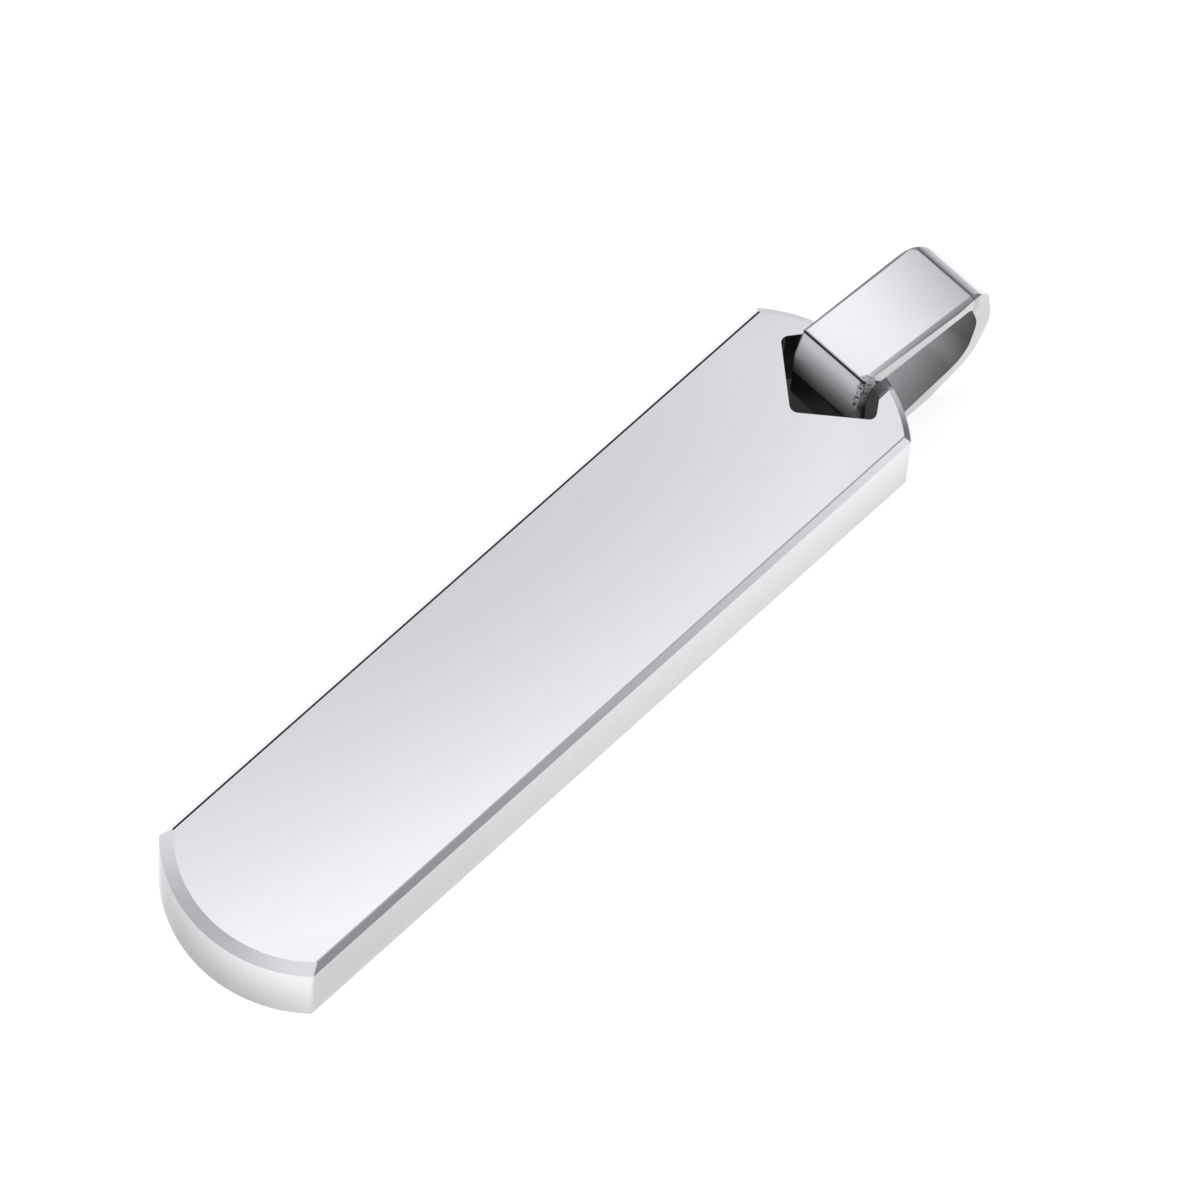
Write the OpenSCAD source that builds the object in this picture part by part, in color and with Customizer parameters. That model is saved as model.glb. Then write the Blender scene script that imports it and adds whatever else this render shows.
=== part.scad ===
// Bar pendant of polished steel, lying on its back.
// A thick bar with two arched ends has a shield-shaped hole near its top end, and a bent band, the bail,
// passes through that hole. The bar's length runs along Y with its top end at +Y, and its front faces up.
// The pendant rests on two places: the back edge of its bottom end, and the back of the bail.

/* [Bar] */
// Length from tip to tip
bar_length = 45; // [44:0.5:48]
// Width over the two long sides
bar_width = 10.4; // [10:0.1:11]
// Thickness from the front to the back
bar_thickness = 4.5; // [4.4:0.05:4.6]
// Radius of the front face's arc at the bottom end
foot_radius = 6.84; // [6.5:0.02:8]
// Radius of the front face's arc at the top end
head_radius = 7.6; // [7.4:0.05:8]
// Width of the bevel along each long side
side_bevel = 0.33; // [0.2:0.01:0.4]
// Width of the bevel round the bottom end
foot_bevel = 0.66; // [0.4:0.02:0.8]
// Width of the bevel round the top end
head_bevel = 0.31; // [0.25:0.01:0.4]
// Depth of every bevel
bevel_depth = 0.2; // [0.1:0.02:0.3]

/* [Hole for the bail] */
// Metal left between the hole and the top end's face arc
hole_strip = 0.62; // [0.6:0.02:0.7]
// Distance from the top end's tip down to the hole's lower point
hole_drop = 5.03; // [4.9:0.05:5.4]
// Distance from the top end's tip down to the hole's side corners
hole_side_drop = 2.38; // [2.3:0.02:2.45]
// Width between the hole's side corners before they are rounded
hole_width = 6.44; // [6.2:0.02:6.6]
// Angle at which the sides above those corners lean inwards
hole_lean = 36; // [32:1:40]
// Rounding of the lower point
hole_point_round = 0.45; // [0.2:0.05:0.6]
// Rounding of the side corners
hole_side_round = 0.38; // [0.2:0.02:0.5]

/* [Bail] */
// Width of the bail's band
bail_width = 4.4; // [4.2:0.05:4.5]
// Distance from the bar's top tip in to the point that the bail's rounds are measured from
bail_in = 0.18; // [0.1:0.02:0.3]
// Depth of that point under the bar's front face
bail_under = 2.6; // [2.5:0.05:2.7]
// Width of the bevel along each long edge of the bail's flat front
plate_bevel = 0.25; // [0.1:0.01:0.35]
// Depth of that bevel
plate_bevel_depth = 0.15; // [0.1:0.01:0.3]

/* [Hidden] */
$fn = 96;
steel = [0.83, 0.83, 0.84];
margin = 1;

// The bail seen from the side is a band between two belts, each drawn tight round a row of rounds.
// Columns: along the bar from the bail's own point, up from that point, radius.
ALONG = 0;
UP = 1;
ROUND = 2;
outer_rounds = [
    [-1.83, 4.47, 0.04],   // crease at the front plate's lower edge
    [-0.5, 2.32, 1.9],     // shoulder under the crease
    [0.15, -0.85, 2.5],    // low bend inside the hole
    [3.2, -1.5, 2],        // start of the back leg
    [4.72, -1.08, 2.07],   // end of the back leg
    [4.2, 0.1, 3.03],      // far end
    [5.87, 2.16, 0.9],     // top edge of the front plate
];
inner_rounds = [
    [-0.9, 2.75, 0.65],
    [0.05, -0.85, 1.8],
    [4.45, -0.8, 1.5],
    [4.3, 0.3, 1.93],
    [5.2, 1.57, 0.73],
];
crease_round = outer_rounds[0];
back_round = outer_rounds[3];
plate_top_round = outer_rounds[6];

head_centre = bar_length / 2 - head_bevel - head_radius;
foot_centre = bar_length / 2 - foot_bevel - foot_radius;
hole_radius = head_radius - hole_strip;
bail_point = [bar_length / 2 - bail_in, bar_thickness - bail_under];

// The pendant tips until the bail's back and the bar's bottom end touch the same surface.
foot_edge = -(foot_centre + foot_radius);
rest_run = bail_point[0] + back_round[ALONG] - foot_edge;
rest_rise = bail_point[1] + back_round[UP];
rest_tilt = asin(back_round[ROUND] / norm([rest_run, rest_rise])) - atan2(rest_rise, rest_run);

// Ends of the whole pendant along Y once it lies at rest, for centring it over the origin
low_end = -bar_length / 2 * cos(rest_tilt) - (bar_thickness - bevel_depth) * sin(rest_tilt);
high_end = max([for (round = outer_rounds) (bail_point[0] + round[ALONG]) * cos(rest_tilt)
    - (bail_point[1] + round[UP]) * sin(rest_tilt) + round[ROUND]]);
rest_shift = -(high_end + low_end) / 2;
rest_lift = -foot_edge * sin(rest_tilt);

function unit(v) = v / norm(v);
function turned_right(v) = [v[1], -v[0]];

// Outward normal of the line that touches two rounds, with the inside on its left
function touch_normal(a, b, ra, rb) =
    let (step = b - a, lean = (ra - rb) / norm(step))
    unit(step) * lean + turned_right(unit(step)) * sqrt(1 - lean * lean);

function centre_of(round) = [round[ALONG], round[UP]];

// Straight-sided outline that touches a closed row of rounds
function belt_points(rounds) = [
    for (i = [0:len(rounds) - 1])
        let (a = rounds[i], b = rounds[(i + 1) % len(rounds)],
            n = touch_normal(centre_of(a), centre_of(b), a[ROUND], b[ROUND]))
        each [centre_of(a) + n * a[ROUND], centre_of(b) + n * b[ROUND]]
];

module belt(rounds) {
    polygon(belt_points(rounds));
    for (r = rounds) translate(centre_of(r)) circle(r = r[ROUND]);
}

// Centre of a round of radius r set in the corner p between the points before and after it
function corner_centre(before, p, after, r) =
    let (u = unit(before - p), v = unit(after - p), half = acos(u * v) / 2)
    p + unit(u + v) * r / sin(half);
function corner_foot(p, toward, centre) = p + unit(toward - p) * ((centre - p) * unit(toward - p));

// Polygon with rounded corners; a radius of zero leaves its corner sharp
module rounded_polygon(points, radii) {
    count = len(points);
    centres = [for (i = [0:count - 1])
        corner_centre(points[(i + count - 1) % count], points[i], points[(i + 1) % count], radii[i])];
    polygon([for (i = [0:count - 1]) each radii[i] > 0 ? [
        corner_foot(points[i], points[(i + count - 1) % count], centres[i]),
        corner_foot(points[i], points[(i + 1) % count], centres[i])] : [points[i]]]);
    for (i = [0:count - 1]) if (radii[i] > 0) translate(centres[i]) circle(r = radii[i]);
}

// Turns a drawing of the side view, along and up, into a solid of the given width across the bar
module across(width) {
    translate([-width / 2, 0, 0]) rotate([90, 0, 90]) linear_extrude(width) children();
}

// Long body with its bevelled sides, longer than the bar at both ends
module bevelled_sides() {
    half = bar_width / 2;
    face = half - side_bevel;
    side = bar_thickness - bevel_depth;
    translate([0, bar_length / 2 + margin, 0]) rotate([90, 0, 0])
        linear_extrude(bar_length + 2 * margin)
            polygon([[-face, 0], [face, 0], [half, bevel_depth], [half, side],
                [face, bar_thickness], [-face, bar_thickness], [-half, side], [-half, bevel_depth]]);
}

// All that one arched end leaves of the bar: a bevelled round plate, and a block behind its centre
module arched_end(radius, bevel, centre) {
    rim = radius + bevel;
    side = bar_thickness - bevel_depth;
    translate([0, centre, 0])
        rotate_extrude() polygon([[0, 0], [radius, 0], [rim, bevel_depth], [rim, side],
            [radius, bar_thickness], [0, bar_thickness]]);
    translate([-bar_width, centre - bar_length - margin, 0])
        cube([2 * bar_width, bar_length + margin, bar_thickness]);
}

// Shield-shaped hole: a point below, two leaning sides, and an arc above that follows the bar's end
module bail_hole() {
    tip = bar_length / 2;
    side_y = tip - hole_side_drop;
    lean_run = hole_side_drop * tan(hole_lean);
    half = hole_width / 2;
    translate([0, 0, -margin]) linear_extrude(bar_thickness + 2 * margin) intersection() {
        rounded_polygon(
            [[0, tip - hole_drop], [half, side_y], [half - lean_run, tip], [lean_run - half, tip], [-half, side_y]],
            [hole_point_round, hole_side_round, 0, 0, hole_side_round]);
        translate([0, head_centre]) circle(r = hole_radius);
    }
}

// Puts a piece that is drawn flat on its back into the tipped pose in which the pendant lies
module at_rest() {
    translate([0, rest_shift, rest_lift]) rotate([rest_tilt, 0, 0]) children();
}

module bar() {
    color(steel) at_rest() difference() {
        intersection() {
            bevelled_sides();
            arched_end(head_radius, head_bevel, head_centre);
            mirror([0, 1, 0]) arched_end(foot_radius, foot_bevel, foot_centre);
        }
        bail_hole();
    }
}

// The two wedges that bevel the long edges of the bail's flat front plate
module plate_edges() {
    outward = touch_normal(centre_of(plate_top_round), centre_of(crease_round),
        plate_top_round[ROUND], crease_round[ROUND]);
    start = centre_of(crease_round) + outward * crease_round[ROUND];
    reach = 1;
    length = norm(centre_of(plate_top_round) - centre_of(crease_round)) + 2 * reach;
    half = bail_width / 2;
    fall = plate_bevel_depth * (1 + margin / plate_bevel);
    translate([0, start[0], start[1]]) rotate([-atan2(outward[0], outward[1]), 0, 0])
        translate([0, length - reach, 0]) rotate([90, 0, 0]) linear_extrude(length)
            for (hand = [1, -1])
                polygon([[hand * (half - plate_bevel), 0], [hand * (half + margin), -fall],
                    [hand * (half + margin), margin], [hand * (half - plate_bevel), margin]]);
}

module bail() {
    color(steel) at_rest() translate([0, bail_point[0], bail_point[1]]) difference() {
        across(bail_width) belt(outer_rounds);
        across(bail_width + 2 * margin) belt(inner_rounds);
        plate_edges();
    }
}

bar();
bail();
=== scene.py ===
import math

import bmesh
import bpy
from mathutils import Matrix, Vector


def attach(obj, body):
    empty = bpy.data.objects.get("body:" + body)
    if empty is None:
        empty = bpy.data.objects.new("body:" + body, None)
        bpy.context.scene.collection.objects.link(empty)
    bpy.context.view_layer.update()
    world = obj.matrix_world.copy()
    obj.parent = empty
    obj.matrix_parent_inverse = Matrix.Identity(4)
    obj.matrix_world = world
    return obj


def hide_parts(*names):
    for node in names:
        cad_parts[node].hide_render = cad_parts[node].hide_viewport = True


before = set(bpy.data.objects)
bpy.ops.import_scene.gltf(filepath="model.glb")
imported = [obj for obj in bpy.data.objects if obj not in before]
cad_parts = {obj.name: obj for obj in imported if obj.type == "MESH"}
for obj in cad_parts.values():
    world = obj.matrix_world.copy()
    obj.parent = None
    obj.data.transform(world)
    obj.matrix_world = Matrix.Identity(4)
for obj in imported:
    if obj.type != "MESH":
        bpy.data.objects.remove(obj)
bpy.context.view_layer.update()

# Sizes in millimetres, as in the part's source. Y runs along the bar from its middle, and Z up from its back.
MM = 0.001
BAR_LENGTH = 45
BAR_WIDTH = 10.4
BAR_THICK = 4.5
FOOT_RADIUS = 6.84
HEAD_RADIUS = 7.6
SIDE_BEVELS = {-1: 0.24, 1: 0.33}
FOOT_BEVEL = 0.66
HEAD_BEVEL = 0.31
BEVEL_DEPTH = 0.2
HOLE_STRIP = 0.62
HOLE_DROP = 5.03
HOLE_SIDE_DROP = 2.38
HOLE_WIDTH = 6.44
HOLE_LEAN = math.radians(36)
HOLE_POINT_ROUND = 0.45
HOLE_SIDE_ROUND = 0.38
BAIL_WIDTH = 4.4
PLATE_BEVELS = {-1: (0.15, 0.1), 1: (0.25, 0.15)}
TIP = BAR_LENGTH / 2
HEAD_CENTRE = TIP - HEAD_BEVEL - HEAD_RADIUS
FOOT_CENTRE = FOOT_BEVEL + FOOT_RADIUS - TIP
HOLE_RADIUS = HEAD_RADIUS - HOLE_STRIP

# The bail's side view, from a point inside its loop: along the bar, up, radius
BAIL_POINT = Vector((0, 22.32, 1.9))
CREASE = (-1.83, 4.47, 0.04)
SHOULDER = (-0.5, 2.32, 1.9)
PLATE_TOP = (5.59, 1.63, 1.48)
OUTER_ROUNDS = [CREASE, SHOULDER, (0.15, -0.85, 2.5), (3.2, -1.5, 2), (4.72, -1.08, 2.07),
                (4.2, 0.1, 3.03), PLATE_TOP]
INNER_ROUNDS = [(-0.9, 2.75, 0.65), (0.05, -0.85, 1.8), (4.45, -0.8, 1.5), (4.3, 0.3, 1.93),
                (5.2, 1.57, 0.73)]
LOOP_MIDDLE = BAIL_POINT + Vector((0, 2.5, 0.3))

# The top bend's left corner is worn round; its reach is measured from the bail's point along this way
TOP_WAY = Vector((0, 0.906, 0.423))
TOP_REACH = 7.22
CORNER_ROUND = 1.25
CORNER_FACETS = range(5, 90, 10)

# What the band lost of its half width at the crease and at the top bend
CREASE_LOSS = 0.14
TOP_LOSS = 0.1

# Every real edge, turned by more degrees than this, is eased
EASED_WIDTH = 0.05
EASED_TURN = 13

# Steps of the round forms, and how far a cutter reaches past the metal
END_STEPS = 144
HOLE_STEPS = 360
CORNER_STEPS = 10
BELT_STEPS = 40
PAST = 1

# Distances below which two places count as one: on a cutting plane, between spun ends, in a finished mesh
ON_PLANE = 0.00001
SPUN_WELD = 0.0001
WELD = 0.0005
NEAR = 0.01

# How far a face looks up, from 0 to 1: below WALL it is a wall, up to SLOPE a bevel, above LEVEL the front
WALL = 0.3
SLOPE = 0.98
LEVEL = 0.99
# How far a face of the bail looks sideways before it is one of the band's cut sides
SIDEWAYS = 0.9
# Place along the bar beyond which a wall may be one of the hole's
TOP_END = 10

# How the pendant lies: tipped a little on its back and centred over the origin
REST_TILT = math.radians(1.9363131001)
REST_PLACE = Vector((0, -3.4174181839, 0.7379431638))
REST = Matrix.Scale(MM, 4) @ Matrix.Translation(REST_PLACE) @ Matrix.Rotation(REST_TILT, 4, "X")


# Shared mesh work


def piece_from(bm, name):
    """Turns a finished mesh into an object of its own, still as drawn."""
    bmesh.ops.remove_doubles(bm, verts=bm.verts, dist=WELD)
    bmesh.ops.recalc_face_normals(bm, faces=bm.faces)
    for face in bm.faces:
        face.smooth = True
    mesh = bpy.data.meshes.new(name)
    bm.to_mesh(mesh)
    bm.free()
    piece = bpy.data.objects.new(name, mesh)
    bpy.context.scene.collection.objects.link(piece)
    return piece


def corners_of(made):
    return [part for part in made["geom"] if isinstance(part, bmesh.types.BMVert)]


def grind(bm, place, outward):
    """Grinds away all metal in front of a plane and leaves a flat face there."""
    everything = bm.verts[:] + bm.edges[:] + bm.faces[:]
    cut = bmesh.ops.bisect_plane(bm, geom=everything, dist=ON_PLANE, plane_co=place,
                                 plane_no=outward, clear_outer=True)
    rim = [part for part in cut["geom_cut"] if isinstance(part, bmesh.types.BMEdge)]
    bmesh.ops.edgeloop_fill(bm, edges=rim)


def carve(piece, cutter):
    carving = piece.modifiers.new("carving", "BOOLEAN")
    carving.operation = "DIFFERENCE"
    carving.solver = "EXACT"
    carving.object = cutter
    carved = bpy.data.meshes.new_from_object(piece.evaluated_get(bpy.context.evaluated_depsgraph_get()))
    piece.modifiers.clear()
    piece.data = carved
    bpy.data.objects.remove(cutter)


def mark_faces(piece, marks):
    """Writes which faces had which kind of work, for the finishes to read."""
    for name, belongs in marks.items():
        mark = piece.data.attributes.new(name, "FLOAT", "FACE")
        for face in piece.data.polygons:
            mark.data[face.index].value = 1.0 if belongs(face.center, face.normal) else 0.0


def ease_edges(piece):
    """Takes the sharpness off every real edge, as polishing does."""
    easing = piece.modifiers.new("eased_edges", "BEVEL")
    easing.width = EASED_WIDTH * MM
    easing.segments = 2
    easing.limit_method = "ANGLE"
    easing.angle_limit = math.radians(EASED_TURN)
    easing.harden_normals = True
    easing.use_clamp_overlap = True


# The bar


def turn_arched_end(bm, centre, radius, bevel, turn):
    rim = radius + bevel
    side = BAR_THICK - BEVEL_DEPTH
    outline = [(0, 0), (radius, 0), (rim, BEVEL_DEPTH), (rim, side), (radius, BAR_THICK), (0, BAR_THICK)]
    corners = [bm.verts.new((out, centre, up)) for out, up in outline]
    edges = [bm.edges.new(pair) for pair in zip(corners, corners[1:])]
    bmesh.ops.spin(bm, geom=corners + edges, cent=(0, centre, 0), axis=(0, 0, 1), angle=turn, steps=END_STEPS)


def bar_blank():
    bm = bmesh.new()
    turn_arched_end(bm, HEAD_CENTRE, HEAD_RADIUS, HEAD_BEVEL, math.pi)
    turn_arched_end(bm, FOOT_CENTRE, FOOT_RADIUS, FOOT_BEVEL, -math.pi)
    bmesh.ops.remove_doubles(bm, verts=bm.verts, dist=SPUN_WELD)
    open_rims = [edge for edge in bm.edges if len(edge.link_faces) == 1]
    bmesh.ops.bridge_loops(bm, edges=open_rims)
    for hand in (1, -1):
        grind(bm, (hand * BAR_WIDTH / 2, 0, 0), (hand, 0, 0))
        edge_line = hand * (BAR_WIDTH / 2 - SIDE_BEVELS[hand])
        for height, up in ((BAR_THICK, 1), (0, -1)):
            grind(bm, (edge_line, 0, height), (hand * BEVEL_DEPTH, 0, up * SIDE_BEVELS[hand]))
    return bm


def hole_cutter():
    """Shield-shaped prism: an arc above that follows the bar's end, two leaning sides and a point below."""
    bm = bmesh.new()
    bmesh.ops.create_circle(bm, cap_ends=True, segments=HOLE_STEPS, radius=HOLE_RADIUS)
    bmesh.ops.translate(bm, verts=bm.verts, vec=(0, HEAD_CENTRE, -PAST))
    lifted = bmesh.ops.extrude_face_region(bm, geom=bm.faces[:])
    bmesh.ops.translate(bm, verts=corners_of(lifted), vec=(0, 0, BAR_THICK + 2 * PAST))
    half = HOLE_WIDTH / 2
    corner = TIP - HOLE_SIDE_DROP
    rise = HOLE_DROP - HOLE_SIDE_DROP
    for hand in (1, -1):
        grind(bm, (hand * half, corner, 0), (hand * rise, -half, 0))
        grind(bm, (hand * half, corner, 0), (hand * math.cos(HOLE_LEAN), math.sin(HOLE_LEAN), 0))
    for x, y, radius in ((0, TIP - HOLE_DROP, HOLE_POINT_ROUND), (half, corner, HOLE_SIDE_ROUND),
                         (-half, corner, HOLE_SIDE_ROUND)):
        upright = [edge for edge in bm.edges
                   if all((Vector((x, y)) - v.co.xy).length < NEAR for v in edge.verts)]
        opening = upright[0].calc_face_angle()
        bmesh.ops.bevel(bm, geom=upright, offset=radius * math.tan(opening / 2), affect="EDGES",
                        segments=CORNER_STEPS, profile=0.5, material=-1)
    return piece_from(bm, "hole_cutter")


def is_wall(middle, facing):
    return abs(facing.z) < WALL


def is_hole_wall(middle, facing):
    from_head = (middle.xy - Vector((0, HEAD_CENTRE))).length
    return is_wall(middle, facing) and middle.y > TOP_END and from_head < HOLE_RADIUS + NEAR


def is_head_bevel(middle, facing):
    return WALL < facing.z < SLOPE and middle.y > HEAD_CENTRE + HEAD_RADIUS / 2


def is_front(middle, facing):
    return facing.z > LEVEL


bar = piece_from(bar_blank(), "polished_bar")
carve(bar, hole_cutter())
mark_faces(bar, {"hole_wall": is_hole_wall, "cut_wall": is_wall, "head_bevel": is_head_bevel,
                 "front_face": is_front})

# The bail


def touch_normal(first, second):
    """Outward normal of the straight stretch that touches two rounds, with the band's inside on its left."""
    step = Vector(second[:2]) - Vector(first[:2])
    lean = (first[2] - second[2]) / step.length
    along = step.normalized()
    return along * lean + Vector((along.y, -along.x)) * math.sqrt(1 - lean * lean)


def draw_belt(bm, rounds, x):
    """Draws one closed line round a row of rounds, each arc spun about its own centre."""
    count = len(rounds)
    ends = []
    for i, middle in enumerate(rounds):
        arrive = touch_normal(rounds[i - 1], middle)
        leave = touch_normal(middle, rounds[(i + 1) % count])
        sweep = (math.atan2(leave.y, leave.x) - math.atan2(arrive.y, arrive.x)) % (2 * math.pi)
        centre = BAIL_POINT + Vector((x, middle[0], middle[1]))
        start = bm.verts.new(centre + Vector((0, arrive.x, arrive.y)) * middle[2])
        spun = bmesh.ops.spin(bm, geom=[start], cent=centre, axis=(1, 0, 0), angle=sweep, steps=BELT_STEPS)
        ends.append((start, spun["geom_last"][0]))
    for i, (start, last) in enumerate(ends):
        bm.edges.new((last, ends[(i + 1) % count][0]))


def bail_band():
    bm = bmesh.new()
    draw_belt(bm, OUTER_ROUNDS, -BAIL_WIDTH / 2)
    draw_belt(bm, INNER_ROUNDS, -BAIL_WIDTH / 2)
    bmesh.ops.triangle_fill(bm, edges=bm.edges[:], use_beauty=True, normal=(1, 0, 0))
    widened = bmesh.ops.extrude_face_region(bm, geom=bm.faces[:])
    bmesh.ops.translate(bm, verts=corners_of(widened), vec=(BAIL_WIDTH, 0, 0))
    return bm


def smooth_step(value, start, end):
    """0 at the start, 1 at the end, and an even curve between them."""
    t = min(max((value - start) / (end - start), 0), 1)
    return t * t * (3 - 2 * t)


def half_width(along, up):
    """The band narrows where it was bent: towards the crease and at the top bend."""
    at_crease = smooth_step(along, -0.2, -1.8) * smooth_step(up, -2.5, 0.5)
    at_top = smooth_step(along, 4, 6.2) * smooth_step(up, -1, 2)
    return BAIL_WIDTH / 2 - CREASE_LOSS * at_crease - TOP_LOSS * at_top


def bail_blank():
    bm = bail_band()
    outward = touch_normal(PLATE_TOP, CREASE)
    front = BAIL_POINT + Vector((0, CREASE[0], CREASE[1])) + Vector((0, *outward)) * CREASE[2]
    for hand in (1, -1):
        bevel, depth = PLATE_BEVELS[hand]
        edge_line = front + Vector((hand * (BAIL_WIDTH / 2 - bevel), 0, 0))
        slope = Vector((hand * depth, 0, 0)) + Vector((0, *outward)) * bevel
        grind(bm, edge_line, slope)
    corner = BAIL_POINT + Vector((CORNER_ROUND - BAIL_WIDTH / 2, 0, 0)) + TOP_WAY * (TOP_REACH - CORNER_ROUND)
    for degrees in CORNER_FACETS:
        turn = math.radians(degrees)
        facing = TOP_WAY * math.cos(turn) - Vector((math.sin(turn), 0, 0))
        grind(bm, corner + facing * CORNER_ROUND, facing)
    for vert in bm.verts:
        along, up = vert.co.yz - BAIL_POINT.yz
        vert.co.x *= half_width(along, up) / (BAIL_WIDTH / 2)
    return bm


def is_band_side(middle, facing):
    return abs(facing.x) > SIDEWAYS


def is_right_bevel(middle, facing):
    return WALL < facing.x < SIDEWAYS and facing.z > 0.4


def is_shoulder(middle, facing):
    return facing.y < -0.4 and middle.y < BAIL_POINT.y


def is_inner_wall(middle, facing):
    return abs(facing.x) < 0.5 and facing.dot(LOOP_MIDDLE - middle) > 0


bail = piece_from(bail_blank(), "bent_bail")
mark_faces(bail, {"cut_wall": is_band_side, "right_bevel": is_right_bevel, "shoulder": is_shoulder,
                  "inner_wall": is_inner_wall})

for piece, body, node, slot in ((bar, "bar", "bar", "bar_steel"), (bail, "bail", "bail", "bail_steel")):
    piece.data.transform(REST)
    ease_edges(piece)
    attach(piece, body)
    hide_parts(node)

# Node maths


class Value:
    """One output of a node tree that can be reckoned with like a number."""

    def __init__(self, tree, socket):
        self.tree = tree
        self.socket = socket

    def node(self, kind, settings, inputs, output=0):
        """Any node: its type, its settings, then the values or links of its inputs, by name or by number."""
        made = self.tree.nodes.new(kind)
        for name, setting in settings.items():
            setattr(made, name, setting)
        for place, value in inputs.items():
            if isinstance(value, Value):
                self.tree.links.new(value.socket, made.inputs[place])
            else:
                made.inputs[place].default_value = value
        return Value(self.tree, made.outputs[output])

    def feeds(self, shader, name):
        self.tree.links.new(self.socket, shader.inputs[name])

    def maths(self, operation, *others):
        return self.node("ShaderNodeMath", {"operation": operation}, dict(enumerate((self, *others))))

    def vector(self, operation, other, output="Vector"):
        place = "Scale" if operation == "SCALE" else 1
        return self.node("ShaderNodeVectorMath", {"operation": operation}, {0: self, place: other}, output)

    def parts(self):
        made = self.node("ShaderNodeSeparateXYZ", {}, {0: self}).socket.node
        return [Value(self.tree, out) for out in made.outputs]

    def __add__(self, other):
        return self.maths("ADD", other)

    def __sub__(self, other):
        return self.maths("SUBTRACT", other)

    def __rsub__(self, other):
        return self.maths("MULTIPLY_ADD", -1, other)

    def __mul__(self, other):
        return self.maths("MULTIPLY", other)

    def __abs__(self):
        return self.maths("ABSOLUTE")

    def at_least(self, other):
        return self.maths("MAXIMUM", other)

    def at_most(self, other):
        return self.maths("MINIMUM", other)

    def ramp(self, low, high):
        """0 up to low, 1 from high, even between them; low may be the greater."""
        ends = {1: min(low, high), 2: max(low, high)}
        share = self.node("ShaderNodeMapRange", {"clamp": True}, {0: self, **ends})
        return share if low < high else 1 - share

    def blend(self, colour, other):
        """From one colour to the other as this value goes from 0 to 1."""
        return self.node("ShaderNodeMix", {"data_type": "RGBA"}, {0: self, 6: colour, 7: other}, 2)


def distance(a, b):
    """Length of two steps at right angles to each other."""
    return (a * a + b * b).maths("SQRT")


def object_place(tree):
    """Place on the object in millimetres."""
    return Value(tree, tree.nodes.new("ShaderNodeTexCoord").outputs["Object"]).vector("SCALE", 1 / MM)


class Spot:
    """What a finish reads at a point of the metal: its place in millimetres as drawn, and its marks."""

    def __init__(self, tree):
        lying = object_place(tree).vector("SUBTRACT", REST_PLACE)
        upright = {"Vector": lying, "Angle": -REST_TILT}
        self.place = lying.node("ShaderNodeVectorRotate", {"rotation_type": "X_AXIS"}, upright)
        self.x, self.y, self.z = self.place.parts()
        self.along = self.y - BAIL_POINT.y
        self.up = self.z - BAIL_POINT.z

    def mark(self, name):
        return self.place.node("ShaderNodeAttribute", {"attribute_name": name}, {}, "Fac")

    def noise(self, stretch, detail):
        """Even noise about zero, finer where the stretch is greater."""
        settings = {"Vector": self.place.vector("MULTIPLY", stretch), "Scale": 1.0, "Detail": detail}
        return self.place.node("ShaderNodeTexNoise", {}, settings) - 0.5


# Finishes, with shade painted into their colour. Every height and place in them is in millimetres as drawn.

STEEL_COLOUR = (0.83, 0.83, 0.84, 1)
# the colour that painted shade darkens the steel towards
PAINTED_SHADE_COLOUR = (0.02, 0.02, 0.023, 1)
POLISH = 0.06
WAVE_STRETCH = (0.35, 0.12, 0.35)
WAVE_HEIGHT = 0.0012
SCRATCH_STRETCH = (7, 0.22, 7)
SCRATCH_HEIGHT = 0.00012
SCRATCH_ROUGHNESS = 0.03

# Crown of the bar's faces across and along it, and bow of the bail's plate, in millimetres per square one
CROWN_ACROSS = -0.00244
CROWN_ALONG = -0.000436
PLATE_BOW = -0.0034
MACHINING_LINES = 90
MACHINING_HEIGHT = 0.0016
PIT_STRETCH = (9, 9, 9)
PIT_HEIGHT = 0.4
GRIME_STRETCH = (6, 6, 6)

# Painted shade: how much darker each part is painted, from 0 to 1, where one tone will do; the lines' tone
# also darkens the solder's specks
HOLE_DARK = 0.78
HEAD_BEVEL_DARK = 0.36
RIGHT_LINE_DARK = 0.55
BAND_SIDE_DARK = 0.33
RIGHT_BEVEL_DARK = 0.5
TOP_BEND_DARK = 0.25
OUTLINE_DARK = 0.6
LINES_DARK = 0.95


def steel(name, relief, shade, roughness, frost=None):
    """Mirror polish: relief is a height, shade is painted shade that darkens the colour, and roughness and
    frost take the mirror away.
    """
    finish = bpy.data.materials.new(name)
    finish.use_nodes = True
    tree = finish.node_tree
    shader = tree.nodes["Principled BSDF"]
    shader.inputs["Metallic"].default_value = 1
    spot = Spot(tree)
    # polishing leaves very slight waves, and fine scratches that run along the piece
    waves = spot.noise(WAVE_STRETCH, 0.0)
    scratches = spot.noise(SCRATCH_STRETCH, 2.0)
    height = (relief(spot) + waves * WAVE_HEIGHT + scratches * SCRATCH_HEIGHT) * MM
    bump = {"Height": height, "Distance": 1.0, "Strength": 1.0}
    height.node("ShaderNodeBump", {}, bump).feeds(shader, "Normal")
    (roughness(spot) + scratches * SCRATCH_ROUGHNESS + POLISH).feeds(shader, "Roughness")
    if frost:
        (1 - frost(spot)).feeds(shader, "Metallic")
    # painted shade: the colour goes towards the dark one as far as the shade says
    dark = shade(spot).at_most(1).at_least(0)
    dark.blend(STEEL_COLOUR, PAINTED_SHADE_COLOUR).feeds(shader, "Base Color")
    return finish


def foot_turn(spot):
    """Angle round the middle of the bottom end's arc, plus to the right."""
    return spot.x.maths("ARCTAN2", FOOT_CENTRE - spot.y)


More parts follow.
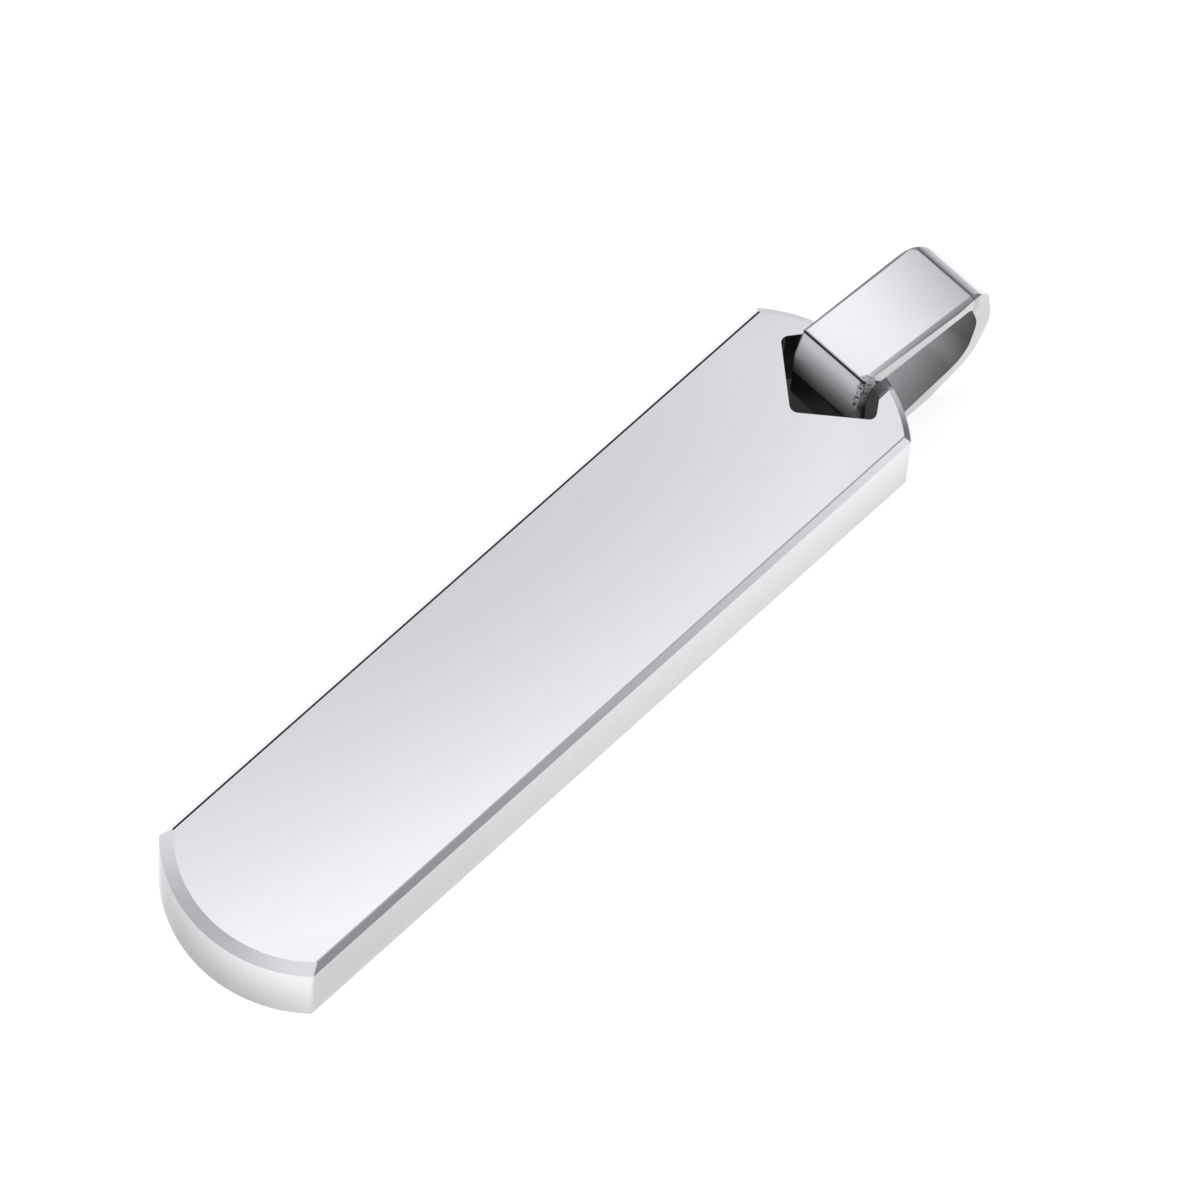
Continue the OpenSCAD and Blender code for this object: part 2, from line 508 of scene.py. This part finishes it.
def bar_relief(spot):
    """The faces are crowned a little by polishing; the bottom wall keeps faint upright machining lines."""
    crown = spot.x * spot.x * CROWN_ACROSS + spot.y * spot.y * CROWN_ALONG
    turn = foot_turn(spot)
    settings = {"W": turn * MACHINING_LINES, "Scale": 1.0, "Detail": 2.0}
    lines = spot.place.node("ShaderNodeTexNoise", {"noise_dimensions": "1D"}, settings) - 0.5
    machined = spot.y.ramp(-18.5, -20.5) * turn.ramp(0.15, 0.5) * spot.mark("cut_wall")
    return crown + lines * machined * MACHINING_HEIGHT


def bar_shade(spot):
    """Painted shade and reflection: the walls, which mirror the floor, are painted darker as that floor would
    be shaded, the front gets a painted tone, a painted dark line runs along each long edge, and the hole's
    walls and the head's bevel are painted dark.
    """
    x = spot.x
    y = spot.y
    up = spot.z - 1
    turn = foot_turn(spot)
    bow = turn * turn
    # painted shade on the walls, standing in for the shade of the floor they mirror: darker lower down, and
    # on the sides towards the bottom end
    foot = 0.55 - turn * 0.27 - bow * 0.22 - turn.at_most(0) * 0.19 + (-0.35 - turn).at_least(0) * 0.5
    foot = foot - up * (turn * 0.0625 - bow * 0.071 + 0.096)
    side = 0.32 - y * 0.0033 - up * (y * 0.00145 + 0.0386)
    at_foot = y.ramp(-20.3, -20.5)
    wall = (foot * at_foot + side * (1 - at_foot)) * spot.mark("cut_wall")
    # painted shade on the head's bevel, darker towards its left, for a darker reflection
    bevel = x.ramp(-1.5, -3) * spot.mark("head_bevel") * HEAD_BEVEL_DARK
    # painted shade over the front, darkest near its middle, standing in for the tones it mirrors
    off_middle = y + 1
    front = 0.205 - off_middle * off_middle * 0.00045 - x * (x * 0.0036 + 0.005)
    # painted dark lines along the front's two long edges, standing in for what the edges would mirror
    left_edge_shade = abs(x + 4.92).ramp(0.075, 0.045)
    right_edge_shade = abs(x - 4.83).ramp(0.055, 0.03) * RIGHT_LINE_DARK
    face = front.at_least(left_edge_shade).at_least(right_edge_shade) * spot.mark("front_face")
    # the hole's walls get painted shade, dark as a shaded recess
    return (wall + bevel).at_least(spot.mark("hole_wall") * HOLE_DARK).at_least(face)


def bar_roughness(spot):
    return spot.mark("hole_wall") * 0.2


def solder(spot):
    """Rough bits of solder below the crease's right end, where the band's two ends meet."""
    from_joint = distance(spot.along + 2.05, (spot.up - 3.4) * 0.7)
    return from_joint.ramp(0.95, 0.55) * spot.x.ramp(1.65, 1.9)


def bail_relief(spot):
    """A slightly bowed plate, a shoulder that was filed round, and pits in the solder."""
    way = (spot.along - 2.4) * 0.983 - (spot.up - 3.72) * 0.182
    bow = way * way * PLATE_BOW
    pits = spot.noise(PIT_STRETCH, 3.0) * solder(spot) * PIT_HEIGHT
    above = (spot.up - 0.6).at_least(0)
    return bow + pits - above * (above * 0.06 + 0.3) * spot.mark("shoulder")


def past_plate(spot):
    """Distance beyond the flat plate's outline, which is straight with one round corner at its top left."""
    across = (-1.55 - spot.x).at_least(0)
    beyond = (spot.along - 5.4).at_least(0)
    return distance(across, beyond) - 0.5


def bail_shade(spot):
    """Painted shade on the bent band: darkest down in the hole, painted darker on the top bend, inside the
    loop, on the cut sides and the right bevel, with painted dark lines at the crease and round the plate.
    """
    up = spot.up
    past = past_plate(spot)
    # painted shade down the shoulder, darker as it goes into the hole
    depth = up.ramp(3.8, 2.9) * 0.44 + up.ramp(2.4, 0.4) * 0.35 + up.ramp(1, 0.7) * 0.4
    shoulder = depth * (1 - solder(spot)) * spot.mark("shoulder")
    # painted shade on the top bend beyond the plate, standing in for what it would mirror
    behind_plate = past.ramp(0.6, 0) * past.ramp(-0.03, 0.02) * up.ramp(1.5, 2)
    top_bend_shade = behind_plate * (1 - spot.mark("inner_wall")) * TOP_BEND_DARK
    # painted shade inside the loop, darker further along it and towards its right side
    inside = (spot.along.ramp(1, 6) * 0.2 + spot.x.ramp(0.3, 2.4) * 0.5) * spot.mark("inner_wall")
    # painted shade on the band's cut sides and across the right bevel
    sides = spot.mark("cut_wall") * BAND_SIDE_DARK
    right_bevel = spot.mark("right_bevel") * spot.x.ramp(1.8, 2.15) * RIGHT_BEVEL_DARK
    # painted shade in the crease where the band's ends meet
    crease_shade = distance(spot.along + 1.9, up - 4.36).ramp(0.13, 0.08)
    # a painted dark line round the plate's outline, standing in for its edge's reflection
    outline = abs(past - 0.01).ramp(0.085, 0.04) * up.ramp(2.6, 2.9) * OUTLINE_DARK
    grime = spot.noise(GRIME_STRETCH, 2.0).ramp(0.0, 0.08) * solder(spot)
    lines = crease_shade.at_least(outline).at_least(grime) * LINES_DARK
    return (shoulder + top_bend_shade + sides + inside + right_bevel).at_least(lines)


def bail_roughness(spot):
    return solder(spot) * 0.12 + spot.mark("inner_wall") * 0.4 + spot.mark("shoulder") * 0.5


def bail_frost(spot):
    """The shoulder's lower part has a frosted skin."""
    return spot.mark("shoulder") * spot.up.ramp(3.2, 2.2) * (1 - solder(spot)) * 0.85


bar.data.materials.append(steel("bar_mirror_steel", bar_relief, bar_shade, bar_roughness))
bail.data.materials.append(steel("bail_mirror_steel", bail_relief, bail_shade, bail_roughness, bail_frost))

# Camera

CAMERA_PLACE = Vector((171.06, -221.192, 510.125)) * MM
CAMERA_LOOK = Vector((-0.2953, 0.3834, -0.87507))
CAMERA_RIGHT = Vector((0.7139, 0.69733, 0.06463))


def make_camera():
    lens = bpy.data.cameras.new("photo_lens")
    lens.lens = 360
    lens.sensor_width = 36
    lens.clip_start = 0.01
    camera = bpy.data.objects.new("photo_camera", lens)
    bpy.context.scene.collection.objects.link(camera)
    back = -CAMERA_LOOK.normalized()
    up = back.cross(CAMERA_RIGHT).normalized()
    right = up.cross(back)
    turn = Matrix((right, up, back)).transposed().to_4x4()
    camera.matrix_world = Matrix.Translation(CAMERA_PLACE) @ turn
    bpy.context.scene.camera = camera


make_camera()

# Floor: it glows a little by itself, and under the bar's hole it has a painted shadow, where its glow and
# colour go dark.
# Its size is in metres; the shadow's place, and the radii of its core and edge, are in millimetres.

FLOOR_SIZE = 3
FLOOR_GLOW = 0.65
FLOOR_TONES = {"Emission Color": (1, 1, 1, 1), "Base Color": (0.86, 0.86, 0.86, 1)}
SHADOW_TONE = (0.035, 0.035, 0.035, 1)
SHADOW_X = -1.8
SHADOW_Y = 17.2
SHADOW_CORE = 2.2
SHADOW_EDGE = 4.2


def lay_floor():
    bpy.ops.mesh.primitive_plane_add(size=FLOOR_SIZE)
    floor = bpy.context.object
    floor.name = "studio_floor"
    pale = bpy.data.materials.new("pale_floor")
    pale.use_nodes = True
    tree = pale.node_tree
    shader = tree.nodes["Principled BSDF"]
    shader.inputs["Roughness"].default_value = 0.9
    shader.inputs["Specular IOR Level"].default_value = 0
    shader.inputs["Emission Strength"].default_value = FLOOR_GLOW
    x, y = object_place(tree).parts()[:2]
    lit = distance(x - SHADOW_X, y - SHADOW_Y).ramp(SHADOW_CORE, SHADOW_EDGE)
    for name, tone in FLOOR_TONES.items():
        lit.blend(SHADOW_TONE, tone).feeds(shader, name)
    floor.data.materials.append(pale)


lay_floor()

# Soft lights and dark gaps of the studio by direction, over one even light.
# Columns: degrees from +Y towards +X, degrees up, spread in degrees, strength.
EVEN_LIGHT = 0.412
LEAST_LIGHT = 0.08
LIGHT_COLOUR = (0.975, 0.983, 1.02, 1)
LIGHTS = [
    (-32, 44, 5, 1.16),
    (52, 40, 5, 1.28),
    (12, 8, 5, -0.68),
    (60, 58, 12, -0.38),
    (144, 76, 12, 0.47),
    (-44, 68, 5, 0.57),
    (-100, 40, 12, 0.49),
    (-72, 0, 8, 0.36),
    (-28, 36, 5, -0.45),
    (-36, 60, 8, 0.30),
    (-162, 38, 16, 0.65),
    (-4, 12, 12, 0.17),
    (-18, 8, 10, 0.23),
]


def way_to(bearing, rise):
    a = math.radians(bearing)
    e = math.radians(rise)
    return Vector((math.sin(a) * math.cos(e), math.cos(a) * math.cos(e), math.sin(e)))


def light_studio():
    world = bpy.data.worlds.new("studio")
    bpy.context.scene.world = world
    world.use_nodes = True
    tree = world.node_tree
    way = Value(tree, tree.nodes.new("ShaderNodeTexCoord").outputs["Generated"])
    total = EVEN_LIGHT
    for bearing, rise, spread, strength in LIGHTS:
        sharp = 1 / math.radians(spread) ** 2
        glow = way.vector("DOT_PRODUCT", way_to(bearing, rise), "Value").maths("POWER", sharp)
        total = glow.maths("MULTIPLY_ADD", strength, total)
    background = tree.nodes["Background"]
    background.inputs["Color"].default_value = LIGHT_COLOUR
    total.at_least(LEAST_LIGHT).feeds(background, "Strength")


light_studio()
bpy.context.scene.view_settings.view_transform = "Standard"
